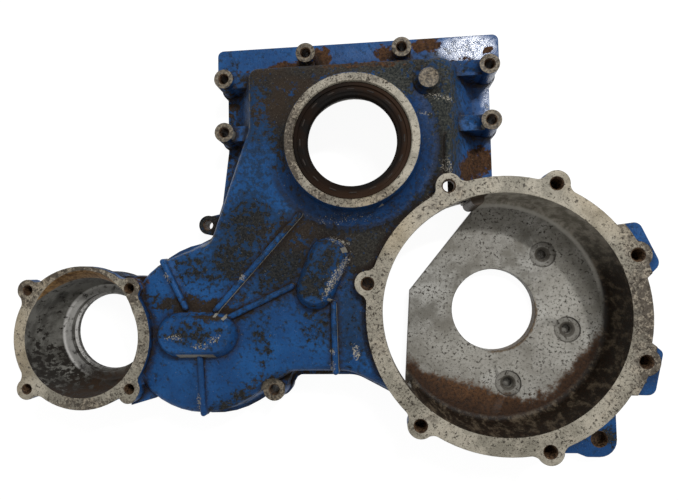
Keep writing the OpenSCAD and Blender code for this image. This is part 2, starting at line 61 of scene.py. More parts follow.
sky = bpy.data.worlds.new("sky")
scene.world = sky
sky.use_nodes = True
sky.node_tree.nodes["Background"].inputs["Color"].default_value = (1.0, 0.985, 0.955, 1.0)
sky.node_tree.nodes["Background"].inputs["Strength"].default_value = 0.47
backdrop = sky.node_tree.nodes.new("ShaderNodeBackground")
backdrop.inputs["Color"].default_value = (1.0, 1.0, 1.0, 1.0)


def sees_backdrop(tree):
    """1 for the rays that show the white background: straight to the camera, in gloss or through glass."""
    rays = tree.nodes.new("ShaderNodeLightPath")
    seen = rays.outputs["Is Camera Ray"]
    for name in ("Is Glossy Ray", "Is Transmission Ray"):
        either = tree.nodes.new("ShaderNodeMath")
        either.operation = "MAXIMUM"
        tree.links.new(seen, either.inputs[0])
        tree.links.new(rays.outputs[name], either.inputs[1])
        seen = either.outputs[0]
    return seen


either = sky.node_tree.nodes.new("ShaderNodeMixShader")
sky.node_tree.links.new(sees_backdrop(sky.node_tree), either.inputs[0])
sky.node_tree.links.new(sky.node_tree.nodes["Background"].outputs[0], either.inputs[1])
sky.node_tree.links.new(backdrop.outputs[0], either.inputs[2])
sky.node_tree.links.new(either.outputs[0], sky.node_tree.nodes["World Output"].inputs["Surface"])


def lamp(name, towards, power, size, far=1.6):
    """A round soft lamp that stands far metres from the shaft's foot and shines on it."""
    light = bpy.data.objects.new(name, bpy.data.lights.new(name, "AREA"))
    scene.collection.objects.link(light)
    light.data.shape = "DISK"
    light.data.size = size
    light.data.energy = power
    light.location = Vector(towards).normalized() * far
    light.rotation_euler = light.location.to_track_quat("Z", "Y").to_euler()


lamp("main_lamp", (0.42, 0.42, 0.81), 12.0, 0.11)
lamp("shine_lamp", (0.38, 0.72, 1.46), 7.0, 0.28)


class Finish:
    """A surface finish being mixed: one material and short words for its nodes."""

    def __init__(self, name):
        self.material = bpy.data.materials.new(name)
        self.material.use_nodes = True
        self.tree = self.material.node_tree
        self.tree.nodes.clear()
        self.here = self.node("TexCoord").outputs["Object"]

    def node(self, kind, **settings):
        """A new shader node with its settings."""
        made = self.tree.nodes.new("ShaderNode" + kind)
        for key, value in settings.items():
            setattr(made, key, value)
        return made

    def feed(self, socket, value):
        """Links a socket, or sets a number or colour on it."""
        if isinstance(value, bpy.types.NodeSocket):
            self.tree.links.new(value, socket)
        elif socket.type == "RGBA":
            socket.default_value = (*value, 1.0)
        else:
            socket.default_value = value

    def calc(self, how, first, second=0.0):
        """One sum on two numbers."""
        made = self.node("Math", operation=how)
        self.feed(made.inputs[0], first)
        self.feed(made.inputs[1], second)
        return made.outputs[0]

    def vector(self, how, *values, out=0):
        """One sum on vectors."""
        made = self.node("VectorMath", operation=how)
        for socket, value in zip(made.inputs, values):
            self.feed(socket, value)
        return made.outputs[out]

    def step(self, value, low, high, start=0.0, end=1.0):
        """Goes smoothly from start to end while value goes from low to high."""
        made = self.node("MapRange", interpolation_type="SMOOTHSTEP")
        self.feed(made.inputs["Value"], value)
        for name, number in zip(("From Min", "From Max", "To Min", "To Max"), (low, high, start, end)):
            self.feed(made.inputs[name], number)
        return made.outputs["Result"]

    def noise(self, scale, detail=4.0, rough=0.55, at=None, out="Fac"):
        """Cloudy noise; scale counts its spots to the metre."""
        made = self.node("TexNoise")
        self.feed(made.inputs["Vector"], at or self.here)
        for name, number in (("Scale", scale), ("Detail", detail), ("Roughness", rough)):
            self.feed(made.inputs[name], number)
        return made.outputs[out]

    def stretch(self, size, turn=0.0, at=None, place=(0.0, 0.0, 0.0)):
        """Places seen from a frame that is set at a place, turned and sized."""
        made = self.node("Mapping", vector_type="TEXTURE")
        self.feed(made.inputs["Vector"], at or self.here)
        self.feed(made.inputs["Location"], place)
        self.feed(made.inputs["Rotation"], (0.0, 0.0, math.radians(turn)))
        self.feed(made.inputs["Scale"], size)
        return made.outputs["Vector"]

    def shift(self, amount, scale, detail=3.0):
        """Places moved at random, for ragged outlines."""
        mid = self.vector("SUBTRACT", self.noise(scale, detail, 0.6, out="Color"), (0.5, 0.5, 0.5))
        return self.vector("MULTIPLY_ADD", mid, (amount, amount, amount), self.here)

    def along(self, x, y, z=0.0, at=None):
        """Distance from the origin along a direction."""
        return self.vector("DOT_PRODUCT", at or self.here, (x, y, z), out="Value")

    def from_axis(self, x, y, at=None):
        """Distance from an upright axis."""
        flat = self.vector("MULTIPLY", self.vector("SUBTRACT", at or self.here, (x, y, 0.0)), (1.0, 1.0, 0.0))
        return self.vector("LENGTH", flat, out="Value")

    def patch(self, at, x, y, wide, high, turn=0.0, edge=0.3, weight=1.0):
        """A soft oval at x, y with half sizes wide and high, all in millimetres."""
        size = (wide * (1.0 + edge) / 1000, high * (1.0 + edge) / 1000, 1000.0)
        local = self.stretch(size, turn, at, (x / 1000, y / 1000, 0.0))
        ball = self.node("TexGradient", gradient_type="SPHERICAL")
        self.feed(ball.inputs["Vector"], local)
        return self.step(ball.outputs["Fac"], 0.0, 2.0 * edge / (1.0 + edge), 0.0, weight)

    def patches(self, at, rows, edge=0.3):
        """Many ovals in one; a row holds x, y, wide, high, turn in degrees and weight."""
        total = None
        for x, y, wide, high, turn, weight in rows:
            one = self.patch(at, x, y, wide, high, turn, edge, weight)
            total = one if total is None else self.calc("MAXIMUM", total, one)
        return total

    def mix(self, share, first, second):
        """Blends two colours."""
        made = self.node("Mix", data_type="RGBA")
        self.feed(made.inputs[0], share)
        self.feed(made.inputs[6], first)
        self.feed(made.inputs[7], second)
        return made.outputs[2]

    def corners(self, reach):
        """1 in the open, less in corners and hollows."""
        made = self.node("AmbientOcclusion", samples=6)
        self.feed(made.inputs["Distance"], reach)
        return made.outputs["AO"]

    def rounded(self, reach):
        """Rounds the look of sharp edges and gives more than 0 on them."""
        self.soft = self.node("Bevel", samples=4)
        self.feed(self.soft.inputs["Radius"], reach)
        same = self.vector("DOT_PRODUCT", self.soft.outputs["Normal"],
                           self.node("NewGeometry").outputs["Normal"], out="Value")
        return self.calc("SUBTRACT", 1.0, same)

    def done(self, colour, roughness, height, depth, metal=0.0, gloss=0.5, relief=1.0):
        """The finished material; height and depth make its relief."""
        skin = self.node("BsdfPrincipled")
        for name, value in (("Base Color", colour), ("Roughness", roughness), ("Metallic", metal),
                            ("Specular IOR Level", gloss)):
            self.feed(skin.inputs[name], value)
        bump = self.node("Bump")
        self.feed(bump.inputs["Height"], height)
        self.feed(bump.inputs["Distance"], depth)
        self.feed(bump.inputs["Strength"], relief)
        if hasattr(self, "soft"):
            self.tree.links.new(self.soft.outputs["Normal"], bump.inputs["Normal"])
        self.tree.links.new(bump.outputs["Normal"], skin.inputs["Normal"])
        out = self.node("OutputMaterial")
        self.tree.links.new(skin.outputs[0], out.inputs["Surface"])
        return self.material


floor_finish = Finish("pale_floor")
white = floor_finish.node("Emission")
floor_finish.feed(white.inputs["Color"], (1.0, 1.0, 1.0))
floor_finish.feed(white.inputs["Strength"], 0.94)
paper = floor_finish.node("BsdfDiffuse")
floor_finish.feed(paper.inputs["Color"], floor_finish.mix(
    floor_finish.noise(40.0), (0.12, 0.12, 0.12), (0.14, 0.14, 0.14)))
lit = floor_finish.node("AddShader")
floor_finish.tree.links.new(white.outputs[0], lit.inputs[0])
floor_finish.tree.links.new(paper.outputs[0], lit.inputs[1])
board = floor_finish.node("BsdfDiffuse")
floor_finish.feed(board.inputs["Color"], (0.45, 0.45, 0.45))
seen = floor_finish.node("MixShader")
floor_finish.tree.links.new(sees_backdrop(floor_finish.tree), seen.inputs[0])
floor_finish.tree.links.new(board.outputs[0], seen.inputs[1])
floor_finish.tree.links.new(lit.outputs[0], seen.inputs[2])
floor_out = floor_finish.node("OutputMaterial")
floor_finish.tree.links.new(seen.outputs[0], floor_out.inputs["Surface"])
floor_mesh = bpy.data.meshes.new("floor")
reach = 12.0
floor_mesh.from_pydata([(-reach, -reach, 0), (reach, -reach, 0), (reach, reach, 0), (-reach, reach, 0)],
                       [], [(0, 1, 2, 3)])
floor_mesh.materials.append(floor_finish.material)
floor = bpy.data.objects.new("floor", floor_mesh)
scene.collection.objects.link(floor)
floor.location.z = -0.0006

# Cover casting: the one-piece aluminium timing cover, sand cast, its joint faces and bores machined.
# It was painted blue all over once; the paint has flaked, and oil and rust have stained it since.
ring_x, ring_y = 0.1285, -0.155
tube_x, tube_y = -0.2565, -0.172
floor_bolt_circle, floor_bolts = 0.0705, (47.2, -16.0, -80.5)
lug_bolt_circle, lug_bolts = 0.121, (111.5, 67.0, 23.5, -20.0, -74.0, -128.0, 166.5)


def round_ring(circle, angle):
    """A place on a circle about the gear chamber's axis."""
    return ring_x + circle * math.cos(math.radians(angle)), ring_y + circle * math.sin(math.radians(angle))


def copy_of(node, name):
    """A merged copy of a CAD node's mesh, with flat areas joined into single faces."""
    work = bmesh.new()
    work.from_mesh(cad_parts[node].data)
    bmesh.ops.remove_doubles(work, verts=work.verts, dist=2e-6)
    bmesh.ops.dissolve_degenerate(work, dist=1e-6, edges=work.edges)
    bmesh.ops.dissolve_limit(work, angle_limit=math.radians(0.4), verts=work.verts, edges=work.edges,
                             delimit={"NORMAL"})
    mesh = bpy.data.meshes.new(name)
    work.to_mesh(mesh)
    work.free()
    piece = bpy.data.objects.new(name, mesh)
    scene.collection.objects.link(piece)
    return piece


casting = copy_of("cover_casting", "cover_casting_worn")
casting.data.shade_smooth()
casting.data.set_sharp_from_angle(angle=math.radians(32))

# Paint on the outside: deep blue, lost in flakes down to dark oxide, thin and grey where hands and
# tools rubbed it, rusty along the flange, grimy and with painted shade in the corners and bright where it was
# knocked.
paint = Finish("worn_blue_paint")
loose = paint.shift(0.016, 90.0, 5.0)
near = paint.shift(0.004, 260.0, 3.0)
up = paint.along(0.0, 0.0, 1.0)
grain = paint.noise(190.0, 10.0, 0.70)
fine = paint.noise(460.0, 6.0, 0.70)
dust = paint.noise(1250.0, 2.0, 0.5)
broad = paint.noise(24.0, 5.0, 0.6)
crevice = paint.corners(0.007)
hollow = paint.corners(0.03)
# The hub's cone and the pads and ribs that stand up keep more of their paint.
cone = paint.calc("MULTIPLY", paint.step(paint.from_axis(0.0, 0.0), 0.082, 0.075),
                  paint.step(paint.along(0.5, -0.87, at=loose), -0.028, 0.0))
raised = paint.calc("MULTIPLY", paint.step(up, 0.0523, 0.0535), paint.step(up, 0.0590, 0.0575))
raised = paint.calc("MULTIPLY", raised, paint.step(paint.along(0.0, 1.0), -0.075, -0.085))
# Dirty places lose their paint in flakes, dull ones only thin it.
dirty = paint.patches(loose, [
    (-62, 69, 46, 17, 0, 1), (-65, 30, 17, 48, 14, 1), (-88, 45, 12, 36, 0, .55), (0, 72, 92, 12, 0, .95),
    (-56, -32, 10, 30, 25, .8), (-34, -78, 50, 14, -6, .9), (16, -98, 30, 36, 20, 1),
    (80, 18, 17, 66, 0, .95), (58, -66, 34, 24, 35, 1), (-64, -104, 34, 24, 42, .85),
    (-98, -72, 24, 24, 20, .8), (-40, 52, 24, 18, 45, 1), (40, 56, 26, 16, -40, 1),
    (-112, -104, 24, 24, 0, .76), (-146, -112, 28, 14, -20, .55), (-147, -146, 48, 9, -8, .95),
    (-27, -114, 12, 28, -22, .72), (-40, -128, 12, 10, 0, .9), (-147, -170, 28, 11, 0, .58),
    (-88, -180, 10, 20, 10, .46), (-94, -222, 16, 8, 0, .5), (-36, -160, 15, 24, 0, .48),
    (-6, -164, 20, 34, 0, .3), (-232, -106, 36, 10, 0, 1), (-112, -231, 32, 8, 30, .62),
    (-125, 40, 10, 60, 0, .55), (-150, -66, 16, 14, 0, 1), (232, -271, 9, 9, 0, .8),
    (205, -262, 16, 10, 30, .7), (268, -100, 8, 12, 30, .7), (-90, -135, 46, 12, 25, .36),
    (-60, -215, 40, 10, 0, .65)], 0.7)
dirty = paint.calc("MULTIPLY", dirty, paint.step(paint.calc("MAXIMUM", cone, raised), 0.0, 1.0, 1.0, 0.35))
worn = paint.calc("ADD", paint.calc("MULTIPLY", dirty, 0.26), grain)
dull = paint.patches(loose, [
    (-94, 0, 20, 80, 0, 1), (-112, -88, 34, 30, 0, .9), (82, 20, 25, 76, 0, 1), (-30, -62, 70, 22, 0, .9),
    (-62, -118, 50, 30, 40, .7), (-2, -160, 26, 40, 0, 1)], 0.7)
faded = paint.step(paint.calc("ADD", paint.calc("MULTIPLY", dull, 0.11), worn), 0.52, 0.66, 0.0, 0.8)
lost = paint.step(worn, 0.635, 0.66)
speck = paint.step(paint.calc("ADD", paint.calc("MULTIPLY", dirty, 0.13), fine), 0.645, 0.675)
lost = paint.calc("MAXIMUM", lost, speck)
# Rust along the flange, brown and grey tones under the flakes, and small bright chips.
rusty = paint.patches(loose, [
    (-66, 92, 22, 7, 0, .95), (-31, 100, 10, 12, 0, 1), (31, 101, 10, 9, 0, 1), (72, 107, 18, 8, 0, 1),
    (132, 98, 6, 4, 0, 1), (121, -12, 16, 16, 0, 1), (108, -24, 12, 12, 0, 1), (-203, -122, 9, 12, 0, .7),
    (0, 88, 118, 4.5, 0, .9), (-126, 45, 8, 40, 0, .3), (-128, -5, 8, 30, 0, .35), (10, 75, 46, 5, 0, .6),
    (90, 80, 20, 5, 0, .5)], 0.45)
rust = paint.step(paint.calc("ADD", paint.calc("MULTIPLY", rusty, 0.36), grain), 0.65, 0.77)
warm = paint.patches(loose, [
    (-60, 55, 60, 40, 0, 1), (0, 74, 95, 12, 0, 1), (-60, -30, 20, 40, 0, .7), (-140, -146, 60, 14, 0, 1),
    (-30, -80, 50, 18, 0, .8), (15, -100, 30, 40, 0, .8), (-60, -216, 44, 14, 0, 1)], 0.6)
thin = paint.patches(loose, [
    (44, 56, 26, 16, -40, 1), (80, 22, 19, 78, 0, 1), (60, -62, 28, 20, 30, 1), (12, -95, 22, 24, 0, .5),
    (20, 70, 60, 7, 0, .5)], 0.5)
chipped = paint.patches(near, [
    (-104, -119, 4, 3, 40, 1), (-146, -231, 3, 7, 0, 1), (-176, -117, 3, 6, 20, 1), (-22, -187, 3, 3, 0, 1),
    (-22, -201, 3, 5, 0, 1), (-17, -120, 3.6, 24, -32, 1), (-15, -88, 12, 3.4, -20, .7),
    (-141, -180, 9, 3, 0, .7), (-128, -174, 8, 3.4, 20, .7), (-12, -68, 26, 5, 3, .42),
    (-1, -188, 3.4, 8, 10, 1), (80, 40, 14, 3, -12, .8), (66, 25, 6, 2, 0, .7), (213, -293, 12, 1.6, 0, .9),
    (243, -262, 1.6, 9, 0, .8), (72, -58, 16, 9, 35, .8), (-165, -172, 8, 3, 0, .8),
    (84, -25, 5, 12, 0, .8)], 0.5)
flecks = paint.noise(760.0, 3.0, 0.62)
bare_and_rim_highlight = paint.step(paint.calc("ADD", paint.calc("MULTIPLY", chipped, 0.22), flecks), 0.66, 0.80)
# Edges rubbed bare, and a painted highlight: a pale line along the gear case's left rim.
edge = paint.calc("MULTIPLY", paint.rounded(0.0011), paint.step(crevice, 0.55, 0.9))
rubbed = paint.calc("MULTIPLY", paint.step(edge, 0.03, 0.12), paint.step(grain, 0.52, 0.62))
bare_and_rim_highlight = paint.calc("MAXIMUM", bare_and_rim_highlight, paint.calc("MULTIPLY", rubbed, 0.4))
# Painted highlight: a pale line along the left rim, mixed in with the bare metal.
rim_painted_highlight = paint.calc("MULTIPLY", paint.step(up, 0.0470, 0.0480), paint.step(up, 0.0505, 0.0495))
rim_painted_highlight = paint.calc("MULTIPLY", rim_painted_highlight, paint.step(paint.along(1.0, 0.0), -0.082, -0.090))
rim_painted_highlight = paint.calc("MULTIPLY", rim_painted_highlight, paint.step(paint.along(0.0, 1.0), -0.11, -0.10))
rim_painted_highlight = paint.calc("MULTIPLY", rim_painted_highlight, paint.step(grain, 0.46, 0.58, 0.0, 0.45))
bare_and_rim_highlight = paint.calc("MAXIMUM", bare_and_rim_highlight, rim_painted_highlight)
# Colours, from the paint down to the oxide, the rust, and the dirt and painted shade in the corners.
blue = paint.mix(paint.step(broad, 0.35, 0.65), (0.006, 0.045, 0.148), (0.010, 0.072, 0.222))
blue = paint.mix(paint.step(fine, 0.5, 0.72, 0.0, 0.4), blue, (0.016, 0.082, 0.22))
blue = paint.mix(paint.step(grain, 0.46, 0.34, 0.0, 0.6), blue, (0.004, 0.024, 0.08))
blue = paint.mix(faded, blue, (0.0055, 0.020, 0.046))
blue = paint.mix(paint.calc("MULTIPLY", cone, 0.52), blue, (0.002, 0.015, 0.058))
oxide = paint.mix(paint.step(fine, 0.38, 0.62), (0.005, 0.0066, 0.0085), (0.023, 0.0235, 0.0225))
oxide = paint.mix(paint.calc("MULTIPLY", warm, paint.step(broad, 0.36, 0.6, 0.2, 0.85)), oxide,
                  paint.mix(fine, (0.012, 0.0075, 0.0045), (0.046, 0.031, 0.020)))
patina = paint.mix(paint.step(fine, 0.38, 0.68), (0.008, 0.0108, 0.0115), (0.056, 0.058, 0.050))
oxide = paint.mix(thin, oxide, patina)
oxide = paint.mix(paint.step(dust, 0.66, 0.72, 0.0, 0.8), oxide, (0.15, 0.14, 0.11))
brown = paint.mix(paint.step(fine, 0.36, 0.64), (0.020, 0.010, 0.006), (0.085, 0.040, 0.017))
colour = paint.mix(lost, blue, oxide)
colour = paint.mix(rust, colour, brown)
# Dirt and painted shade: corners and creases, as beside the ribs and pads, are darkened.
grime_and_shade = paint.calc("MULTIPLY", paint.step(crevice, 0.97, 0.70), paint.step(grain, 0.36, 0.52, 0.55, 0.97))
colour = paint.mix(grime_and_shade, colour, (0.011, 0.0068, 0.0045))
# Painted shade: broad hollows are darkened towards brown.
shade = paint.calc("MULTIPLY", paint.step(hollow, 0.85, 0.45, 0.0, 0.6), paint.step(grain, 0.4, 0.56))
colour = paint.mix(shade, colour, (0.018, 0.0115, 0.008))
# Painted shade: a dark line round the foot of the hub's cone, on its lower side.
hub_out = paint.from_axis(0.0, 0.0, near)
foot = paint.calc("MULTIPLY", paint.step(hub_out, 0.0735, 0.0765), paint.step(hub_out, 0.0840, 0.0790))
foot = paint.calc("MULTIPLY", foot, paint.step(paint.along(0.3, -0.95), -0.025, 0.02, 0.0, 0.55))
colour = paint.mix(foot, colour, (0.0065, 0.0055, 0.0055))
colour = paint.mix(bare_and_rim_highlight, colour, paint.mix(fine, (0.13, 0.115, 0.09), (0.5, 0.47, 0.4)))
skin = paint.calc("ADD", fine, paint.calc("MULTIPLY", paint.noise(55.0, 3.0, 0.5), 0.9))
skin = paint.calc("ADD", skin, paint.step(grain, 0.5, 0.66, 0.0, -0.4))
matt = paint.step(paint.calc("MAXIMUM", paint.calc("MAXIMUM", lost, rust), dirty), 0.0, 1.0, 0.42, 0.85)
# Oily places on the wide plate shine.
wet = paint.patches(loose, [
    (112, 101, 30, 15, 0, 1), (5, 101, 40, 8, 0, .2), (132, 45, 9, 36, 0, .7)], 0.6)
wet = paint.calc("MULTIPLY", wet, paint.step(rust, 0.6, 0.2))
matt = paint.calc("MULTIPLY", matt, paint.step(wet, 0.0, 1.0, 1.0, 0.4))
paint_finish = paint.done(colour, matt, skin, 0.0006, 0.0,
                          paint.step(wet, 0.0, 1.0, 0.15, 0.7), paint.step(wet, 0.0, 1.0, 1.0, 0.33))

# Machined faces: bare aluminium, milled or turned flat, then pitted, scratched and stained brown by
# old oil; the boss faces and the round pad are lower and darker.
face = Finish("machined_face")
pits = face.noise(280.0, 8.0, 0.74)
cloud = face.noise(40.0, 7.0, 0.66)
dust = face.noise(900.0, 3.0, 0.6)
lines = face.noise(900.0, 3.0, 0.6, at=face.stretch((1.0, 0.04, 1.0), 35.0))
loose = face.shift(0.02, 60.0)
dull = face.patches(loose, [
    (250, -150, 26, 80, 0, 1.05), (236, -236, 24, 24, 0, .7), (30, 60, 70, 14, 0, .6),
    (-50, 40, 20, 30, 0, .6), (-55, -6, 12, 54, 0, 1.35), (-25, -52, 40, 12, 0, .8),
    (30, -50, 30, 12, 0, .6), (-258, -110, 50, 16, 0, 1), (-205, -128, 16, 20, 0, .9),
    (-309, -127, 16, 16, 0, .8), (-192, -172, 12, 50, 0, .75), (-204, -222, 20, 16, 0, .6),
    (-250, -234, 50, 9, 0, .95), (40, -235, 24, 24, 0, .5), (18, -110, 14, 30, 20, .5),
    (16, -165, 12, 36, 0, .5), (90, -45, 40, 14, 20, .4), (160, -262, 60, 12, 0, .35)], 0.7)
low = face.step(face.along(0.0, 0.0, 1.0), 0.052, 0.046)
low = face.calc("MAXIMUM", low, face.patch(face.here, 69.5, 55.5, 12, 12, 0, 0.1))
pale = face.mix(face.step(cloud, 0.36, 0.62), (0.165, 0.15, 0.115), (0.40, 0.365, 0.295))
pale = face.mix(face.step(lines, 0.45, 0.7, 0.0, 0.5), pale, (0.50, 0.475, 0.41))
tan = face.patches(loose, [
    (-322, -175, 16, 60, 0, .55), (-290, -110, 40, 14, 30, .6), (25, -70, 24, 30, 45, .7),
    (215, -60, 40, 20, -45, .5)], 0.7)
pale = face.mix(face.calc("MULTIPLY", tan, 0.6), pale, (0.35, 0.26, 0.14))
stain = face.step(face.calc("ADD", face.calc("MULTIPLY", dull, 0.26), cloud), 0.54, 0.80, 0.0, 0.85)
blotch = face.step(face.noise(165.0, 7.0, 0.72), 0.46, 0.56)
pale = face.mix(stain, pale, face.mix(blotch, (0.024, 0.015, 0.009), (0.27, 0.23, 0.175)))
spot = face.step(face.calc("ADD", face.calc("MULTIPLY", dull, 0.06), pits), 0.575, 0.63)
pale = face.mix(face.calc("MULTIPLY", spot, 0.9), pale, (0.034, 0.027, 0.02))
pale = face.mix(face.step(dust, 0.58, 0.67, 0.0, 0.8), pale, (0.045, 0.038, 0.028))
eaten = face.calc("ADD", face.calc("MULTIPLY", dull, 0.10), face.noise(560.0, 6.0, 0.76))
eaten = face.step(eaten, 0.55, 0.64, 0.0, 0.85)
pale = face.mix(eaten, pale, (0.052, 0.041, 0.029))
rough = face.step(face.noise(430.0, 5.0, 0.74), 0.44, 0.58)
pale = face.mix(face.calc("MULTIPLY", low, 0.88), pale,
                face.mix(rough, (0.019, 0.0125, 0.008), (0.17, 0.137, 0.094)))
face_edge = face.step(face.rounded(0.0008), 0.03, 0.12, 0.0, 0.6)
pale = face.mix(face_edge, pale, (0.11, 0.095, 0.07))
smooth = face.step(cloud, 0.3, 0.7, 0.38, 0.62)
scored = face.calc("SUBTRACT", face.calc("MULTIPLY", lines, 0.4), face.step(pits, 0.575, 0.63))
face_finish = face.done(pale, smooth, scored, 0.0003, 0.05, 0.25)

# Gear chamber: bare casting, grey and specked on its floor, black and brown with old oil on its wall
# and at the floor's lower edge; painted light and a painted highlight brighten parts of the floor, and dirt
# and painted shade darken rings round the three spot-faced holes.
chamber = Finish("chamber_casting")
speck = chamber.noise(360.0, 7.0, 0.74)
cloud = chamber.noise(46.0, 8.0, 0.68)
loose = chamber.shift(0.03, 60.0, 5.0)
out = chamber.from_axis(ring_x, ring_y)
turn = chamber.vector("SUBTRACT", chamber.here, (ring_x, ring_y, 0.0))
below = chamber.along(0.12, -0.99, at=turn)
wall = chamber.step(out, 0.0985, 0.1025)
# The floor, with its oil and painted light, then the wall, painted shade in the corners, a painted highlight
# on the fillet, the edges and the dirt and painted shade at the holes.
grey = chamber.mix(chamber.step(cloud, 0.36, 0.64), (0.147, 0.140, 0.122), (0.385, 0.378, 0.352))
grey = chamber.mix(chamber.step(chamber.noise(13.0, 4.0), 0.4, 0.62, 0.0, 0.5), grey, (0.17, 0.157, 0.13))
pitted = chamber.calc("ADD", speck, chamber.calc("MULTIPLY", cloud, 0.3))
grey = chamber.mix(chamber.step(pitted, 0.69, 0.76), grey, (0.03, 0.025, 0.019))
turn_loose = chamber.vector("SUBTRACT", loose, (ring_x, ring_y, 0.0))
oily = chamber.step(chamber.along(-0.298, -0.955, at=turn_loose), 0.064, 0.084)
foot = chamber.calc("MULTIPLY", chamber.step(chamber.from_axis(ring_x, ring_y, loose), 0.076, 0.098),
                    chamber.step(below, 0.004, 0.06, 0.0, 0.95))
oily = chamber.calc("MAXIMUM", oily, foot)
# Painted light: paler patches on the lower and right parts of the floor.
painted_floor_light = chamber.patches(loose, [
    (120, -206, 60, 20, -15, .36), (190, -165, 24, 50, 0, .45)], 0.7)
painted_floor_light = chamber.calc("MULTIPLY", painted_floor_light, chamber.step(speck, 0.6, 0.5))
grey = chamber.mix(painted_floor_light, grey, (0.50, 0.485, 0.44))
oily = chamber.calc("ADD", chamber.calc("MULTIPLY", oily, 0.7), chamber.calc("MULTIPLY", speck, 0.5))
oily = chamber.step(oily, 0.46, 0.82)
brown_oil = chamber.mix(chamber.step(speck, 0.35, 0.62), (0.019, 0.0095, 0.0048), (0.108, 0.050, 0.0205))
grey = chamber.mix(oily, grey, brown_oil)
black_foot = chamber.calc("MULTIPLY", chamber.calc("MULTIPLY", foot, oily), 0.75)
grey = chamber.mix(black_foot, grey, (0.013, 0.0065, 0.0038))
streaks = chamber.noise(120.0, 7.0, 0.72, at=chamber.stretch((1.0, 1.0, 2.4)))
sooty = chamber.step(chamber.along(0.5, -0.87, at=turn), -0.05, 0.03)
wall_dark = chamber.mix(chamber.step(streaks, 0.47, 0.62), (0.0095, 0.0065, 0.004), (0.094, 0.073, 0.049))
wall_dark = chamber.mix(chamber.step(speck, 0.5, 0.6, 0.0, 0.6), wall_dark, (0.026, 0.0125, 0.0065))
wall_grey = chamber.mix(chamber.step(streaks, 0.4, 0.62), (0.17, 0.155, 0.125), (0.40, 0.37, 0.315))
grey = chamber.mix(wall, grey, chamber.mix(sooty, wall_grey, wall_dark))
# Painted shade: the chamber's corners are darkened.
grey = chamber.mix(chamber.step(chamber.corners(0.006), 0.8, 0.4, 0.0, 0.8), grey, (0.016, 0.011, 0.008))
# Painted highlight: a pale arc along the fillet at the wall's foot, on the chamber's upper side.
painted_fillet_highlight = chamber.calc("MULTIPLY", chamber.step(out, 0.0975, 0.0995), chamber.step(out, 0.1030, 0.1005))
painted_fillet_highlight = chamber.calc("MULTIPLY", painted_fillet_highlight, chamber.step(below, 0.02, -0.03, 0.0, 0.6))
grey = chamber.mix(painted_fillet_highlight, grey, (0.55, 0.53, 0.48))
bead = chamber.step(chamber.from_axis(ring_x, ring_y, chamber.shift(0.004, 200.0)), 0.0415, 0.0400)
bead = chamber.calc("MULTIPLY", bead, chamber.step(chamber.along(0.74, -0.67, at=turn), 0.018, 0.028))
grey = chamber.mix(chamber.calc("MULTIPLY", bead, 0.9), grey,
                   chamber.mix(chamber.step(speck, 0.4, 0.6), (0.035, 0.02, 0.011), (0.15, 0.105, 0.06)))
post = chamber.patch(chamber.here, 110.3, -51.6, 8, 8, 0, 0.1)
grey = chamber.mix(chamber.calc("MULTIPLY", post, 0.9), grey, (0.034, 0.020, 0.011))
# Dirt and painted shade: a darker ring inside each spot face, round its hole.
for angle in floor_bolts:
    bolt_out = chamber.from_axis(*round_ring(floor_bolt_circle, angle))
    spot_face_dirt_and_shade = chamber.calc("MULTIPLY", chamber.step(bolt_out, 0.0078, 0.0068, 0.42, 0.88),
                         chamber.step(bolt_out, 0.0122, 0.0116))
    spot_face_dirt_and_shade = chamber.calc("MULTIPLY", spot_face_dirt_and_shade, chamber.step(bolt_out, 0.0042, 0.0048))
    grey = chamber.mix(spot_face_dirt_and_shade, grey, (0.038, 0.032, 0.024))
brink = chamber.calc("MULTIPLY", chamber.step(chamber.rounded(0.0012), 0.02, 0.10),
                     chamber.step(chamber.along(0.0, 0.0, 1.0), 0.0130, 0.0120, 0.0, 0.85))
grey = chamber.mix(brink, grey, (0.024, 0.019, 0.014))
chamber_finish = chamber.done(grey, chamber.step(speck, 0.4, 0.7, 0.42, 0.66), speck, 0.0005, 0.0, 0.15)

# Tube bore: turned, dark with oil, bright on its inner shoulder, bare metal with a painted highlight, and
# rusty orange at its cast mouth.
bore = Finish("oily_bore")
up = bore.along(0.0, 0.0, 1.0)
turn = bore.vector("SUBTRACT", bore.shift(0.02, 60.0, 5.0), (tube_x, tube_y, 0.0))
streak = bore.noise(190.0, 8.0, 0.72, at=bore.stretch((1.0, 1.0, 1.8)))
cloud = bore.noise(45.0, 6.0, 0.66)
soot = bore.mix(bore.step(cloud, 0.38, 0.62), (0.055, 0.052, 0.045), (0.17, 0.166, 0.15))
drips = bore.calc("ADD", streak, bore.step(bore.along(-0.5, -0.87, at=turn), 0.015, 0.055, 0.0, 0.14))
soot = bore.mix(bore.step(drips, 0.56, 0.62), soot, (0.014, 0.0115, 0.009))
low_side = bore.step(bore.along(0.40, -0.92, at=turn), 0.022, 0.050)
soot = bore.mix(bore.calc("MULTIPLY", low_side, 0.9), soot,
                bore.mix(bore.step(streak, 0.4, 0.6), (0.010, 0.0058, 0.0037), (0.038, 0.021, 0.011)))
